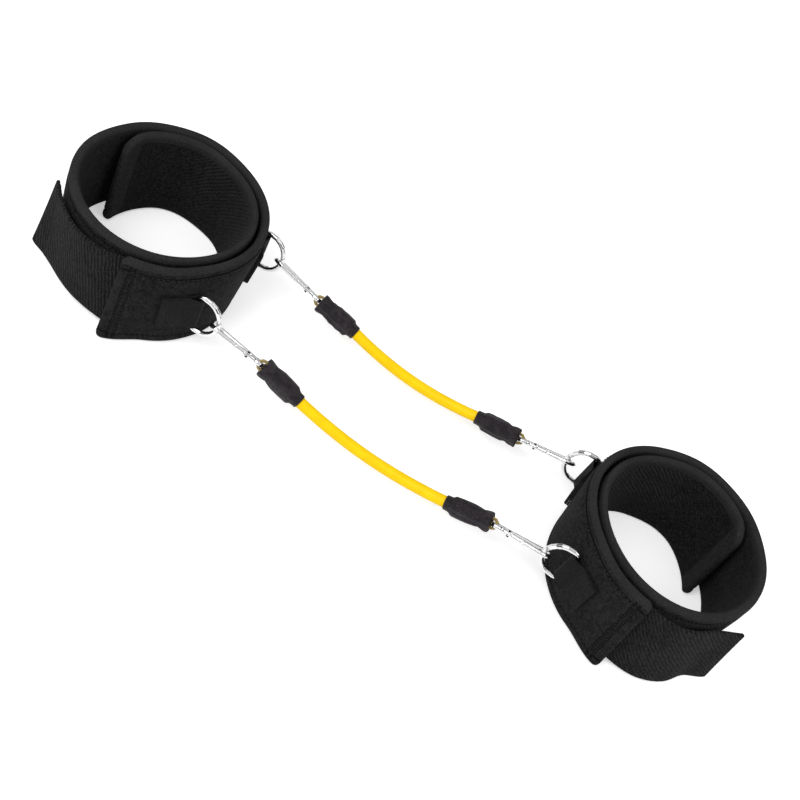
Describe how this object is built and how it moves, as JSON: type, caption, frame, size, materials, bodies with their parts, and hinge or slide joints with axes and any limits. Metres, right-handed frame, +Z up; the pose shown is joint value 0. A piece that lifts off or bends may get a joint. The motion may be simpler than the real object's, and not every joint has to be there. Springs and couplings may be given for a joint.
{
  "type": "lateral resistance band",
  "caption": "Two padded thigh cuffs, each a rolled strip with a closure strap and D-rings, joined by two elastic tubes that clip on with snap hooks.",
  "frame": {"origin": "on the floor, midway between the two cuffs, at the middle of the bounding box's bottom face", "axes": "+X from the left cuff to the right cuff, +Y from the front band to the rear band, +Z up along the cuffs' axes"},
  "size_m": [0.588, 0.1598, 0.0767],
  "materials": {
    "left_pad_face": "knit fabric, matt",
    "left_pad_foam": "closed-cell foam, cut edges",
    "left_pad_lining": "ribbed loop pile",
    "left_strap_root": "loop pile, matt",
    "left_closure_strap": "loop pile, matt",
    "left_hook_tape": "moulded hook tape",
    "left_front_tab": "woven webbing",
    "left_rear_tab": "woven webbing",
    "left_front_d_ring": "polished plate",
    "left_front_hook_body": "polished plate",
    "left_front_hook_gate": "polished plate",
    "left_front_gate_spring": "drawn wire",
    "left_front_gate_rivet": "polished plate",
    "left_front_sleeve": "gathered nylon",
    "left_front_ferrule": "plain",
    "left_front_cord_loop": "twisted cord",
    "left_rear_d_ring": "polished plate",
    "left_rear_hook_body": "polished plate",
    "left_rear_hook_gate": "polished plate",
    "left_rear_gate_spring": "drawn wire",
    "left_rear_gate_rivet": "polished plate",
    "left_rear_sleeve": "gathered nylon",
    "left_rear_ferrule": "plain",
    "left_rear_cord_loop": "twisted cord",
    "right_pad_face": "knit fabric, matt",
    "right_pad_foam": "closed-cell foam, cut edges",
    "right_pad_lining": "ribbed loop pile",
    "right_strap_root": "loop pile, matt",
    "right_closure_strap": "loop pile, matt",
    "right_hook_tape": "moulded hook tape",
    "right_front_tab": "woven webbing",
    "right_rear_tab": "woven webbing",
    "right_front_d_ring": "polished plate",
    "right_front_hook_body": "polished plate",
    "right_front_hook_gate": "polished plate",
    "right_front_gate_spring": "drawn wire",
    "right_front_gate_rivet": "polished plate",
    "right_front_sleeve": "gathered nylon",
    "right_front_ferrule": "plain",
    "right_front_cord_loop": "twisted cord",
    "right_rear_d_ring": "polished plate",
    "right_rear_hook_body": "polished plate",
    "right_rear_hook_gate": "polished plate",
    "right_rear_gate_spring": "drawn wire",
    "right_rear_gate_rivet": "polished plate",
    "right_rear_sleeve": "gathered nylon",
    "right_rear_ferrule": "plain",
    "right_rear_cord_loop": "twisted cord",
    "front_tube": "smooth latex",
    "rear_tube": "smooth latex"
  },
  "bodies": {
    "left_cuff": {"left_pad_face": "left_pad_face", "left_pad_foam": "left_pad_foam", "left_pad_lining": "left_pad_lining", "left_strap_root": "left_strap_root", "left_front_tab": "left_front_tab", "left_rear_tab": "left_rear_tab"},
    "left_strap": {"left_closure_strap": "left_closure_strap", "left_hook_tape": "left_hook_tape"},
    "left_front_ring": {"left_front_d_ring": "left_front_d_ring"},
    "left_front_hook": {"left_front_hook_body": "left_front_hook_body", "left_front_gate_rivet": "left_front_gate_rivet"},
    "left_front_gate": {"left_front_hook_gate": "left_front_hook_gate", "left_front_gate_spring": "left_front_gate_spring"},
    "left_front_tube_end": {"left_front_sleeve": "left_front_sleeve", "left_front_ferrule": "left_front_ferrule", "left_front_cord_loop": "left_front_cord_loop", "front_tube": "front_tube"},
    "left_rear_ring": {"left_rear_d_ring": "left_rear_d_ring"},
    "left_rear_hook": {"left_rear_hook_body": "left_rear_hook_body", "left_rear_gate_rivet": "left_rear_gate_rivet"},
    "left_rear_gate": {"left_rear_hook_gate": "left_rear_hook_gate", "left_rear_gate_spring": "left_rear_gate_spring"},
    "left_rear_tube_end": {"left_rear_sleeve": "left_rear_sleeve", "left_rear_ferrule": "left_rear_ferrule", "left_rear_cord_loop": "left_rear_cord_loop", "rear_tube": "rear_tube"},
    "right_cuff": {"right_pad_face": "right_pad_face", "right_pad_foam": "right_pad_foam", "right_pad_lining": "right_pad_lining", "right_strap_root": "right_strap_root", "right_front_tab": "right_front_tab", "right_rear_tab": "right_rear_tab"},
    "right_strap": {"right_closure_strap": "right_closure_strap", "right_hook_tape": "right_hook_tape"},
    "right_front_ring": {"right_front_d_ring": "right_front_d_ring"},
    "right_front_hook": {"right_front_hook_body": "right_front_hook_body", "right_front_gate_rivet": "right_front_gate_rivet"},
    "right_front_gate": {"right_front_hook_gate": "right_front_hook_gate", "right_front_gate_spring": "right_front_gate_spring"},
    "right_front_tube_end": {"right_front_sleeve": "right_front_sleeve", "right_front_ferrule": "right_front_ferrule", "right_front_cord_loop": "right_front_cord_loop"},
    "right_rear_ring": {"right_rear_d_ring": "right_rear_d_ring"},
    "right_rear_hook": {"right_rear_hook_body": "right_rear_hook_body", "right_rear_gate_rivet": "right_rear_gate_rivet"},
    "right_rear_gate": {"right_rear_hook_gate": "right_rear_hook_gate", "right_rear_gate_spring": "right_rear_gate_spring"},
    "right_rear_tube_end": {"right_rear_sleeve": "right_rear_sleeve", "right_rear_ferrule": "right_rear_ferrule", "right_rear_cord_loop": "right_rear_cord_loop"}
  },
  "joints": [
    {"name": "stride", "type": "hinge", "parent": "left_front_ring", "child": "left_cuff", "pos_m": [-0.15704, -0.03997, 0.0385], "axis": [0, 0, -1], "range_deg": [-6, 6]},
    {"name": "left_front_hook_swing", "type": "hinge", "parent": "left_front_hook", "child": "left_front_ring", "pos_m": [-0.13805, -0.04041, 0.036], "axis": [0, 0, -1], "range_deg": [-4.5, 4.5]},
    {"name": "left_front_loop_swing", "type": "hinge", "parent": "left_front_tube_end", "child": "left_front_hook", "pos_m": [-0.09766, -0.04135, 0.03104], "axis": [0, 0, -1], "range_deg": [-4.5, 4.5]},
    {"name": "stretch", "type": "slide", "parent": "left_front_tube_end", "child": "right_front_tube_end", "axis": [0.9997, -0.0233, 0], "range_m": [0, 0.12], "stiffness_N_per_m": 200, "deforming": ["front_tube"]},
    {"name": "right_front_loop_swing", "type": "hinge", "parent": "right_front_tube_end", "child": "right_front_hook", "pos_m": [0.09894, -0.04594, 0.03104], "axis": [0, 0, 1], "range_deg": [-4.5, 4.5]},
    {"name": "right_front_hook_swing", "type": "hinge", "parent": "right_front_hook", "child": "right_front_ring", "pos_m": [0.13933, -0.04688, 0.036], "axis": [0, 0, 1], "range_deg": [-4.5, 4.5]},
    {"name": "right_front_ring_swing", "type": "hinge", "parent": "right_front_ring", "child": "right_cuff", "pos_m": [0.15832, -0.04732, 0.0385], "axis": [0, 0, 1], "range_deg": [-6, 6]},
    {"name": "left_rear_ring_swing", "type": "hinge", "parent": "left_cuff", "child": "left_rear_ring", "pos_m": [-0.1546, 0.04875, 0.0385], "axis": [0, 0, 1], "range_deg": [-6.4, 6.4]},
    {"name": "left_rear_hook_swing", "type": "hinge", "parent": "left_rear_ring", "child": "left_rear_hook", "pos_m": [-0.1356, 0.04823, 0.036], "axis": [0, 0, 1], "range_deg": [-4.8, 4.8]},
    {"name": "left_rear_loop_swing", "type": "hinge", "parent": "left_rear_hook", "child": "left_rear_tube_end", "pos_m": [-0.09613, 0.04713, 0.02615], "axis": [0, 0, 1], "range_deg": [-4.8, 4.8]},
    {"name": "rear_stretch", "type": "slide", "parent": "left_rear_tube_end", "child": "right_rear_tube_end", "axis": [0.9996, -0.0277, 0], "range_m": [0, 0.12], "stiffness_N_per_m": 200, "deforming": ["rear_tube"]},
    {"name": "right_rear_loop_swing", "type": "hinge", "parent": "right_rear_tube_end", "child": "right_rear_hook", "pos_m": [0.08861, 0.04201, 0.02615], "axis": [0, 0, 1], "range_deg": [-4.8, 4.8]},
    {"name": "right_rear_ring_swing", "type": "hinge", "parent": "right_cuff", "child": "right_rear_ring", "pos_m": [0.14508, 0.04044, 0.0385], "axis": [0, 0, 1], "range_deg": [-6.4, 6.4]},
    {"name": "left_front_gate_open", "type": "hinge", "parent": "left_front_hook", "child": "left_front_gate", "pos_m": [-0.11055, -0.04362, 0.03486], "axis": [-0.1074, -0.6523, -0.7503], "range_deg": [0, 28], "stiffness_Nm_per_rad": 0.02},
    {"name": "left_rear_gate_open", "type": "hinge", "parent": "left_rear_hook", "child": "left_rear_gate", "pos_m": [-0.10847, 0.04489, 0.03148], "axis": [-0.2022, -0.6425, -0.7391], "range_deg": [0, 28], "stiffness_Nm_per_rad": 0.02},
    {"name": "right_front_gate_open", "type": "hinge", "parent": "right_front_hook", "child": "right_front_gate", "pos_m": [0.11171, -0.04881, 0.03485], "axis": [-0.0772, 0.6541, 0.7525], "range_deg": [0, 28], "stiffness_Nm_per_rad": 0.02},
    {"name": "right_rear_gate_open", "type": "hinge", "parent": "right_rear_hook", "child": "right_rear_gate", "pos_m": [0.10082, 0.03906, 0.03146], "axis": [-0.1676, 0.6468, 0.744], "range_deg": [0, 28], "stiffness_Nm_per_rad": 0.02},
    {"name": "left_strap_peel", "type": "hinge", "parent": "left_cuff", "child": "left_strap", "pos_m": [-0.2119, -0.06104, 0.0375], "axis": [0, 0, 1], "range_deg": [0, 90]},
    {"name": "right_strap_peel", "type": "hinge", "parent": "right_cuff", "child": "right_strap", "pos_m": [0.21534, -0.06155, 0.0375], "axis": [0, 0, -1], "range_deg": [0, 90]}
  ],
  "couplings": [
    {"joint": "left_front_hook_swing", "follows": "stride", "ratio": 0.75},
    {"joint": "left_front_loop_swing", "follows": "stride", "ratio": 0.75},
    {"joint": "right_front_loop_swing", "follows": "stride", "ratio": -0.75},
    {"joint": "right_front_hook_swing", "follows": "stride", "ratio": -0.75},
    {"joint": "right_front_ring_swing", "follows": "stride", "ratio": -1},
    {"joint": "left_rear_ring_swing", "follows": "stride", "ratio": 1.0547},
    {"joint": "left_rear_hook_swing", "follows": "stride", "ratio": 0.791},
    {"joint": "left_rear_loop_swing", "follows": "stride", "ratio": 0.791},
    {"joint": "right_rear_loop_swing", "follows": "stride", "ratio": -0.791},
    {"joint": "right_rear_ring_swing", "follows": "stride", "ratio": 1.0547},
    {"joint": "rear_stretch", "follows": "stretch", "ratio": 1}
  ]
}
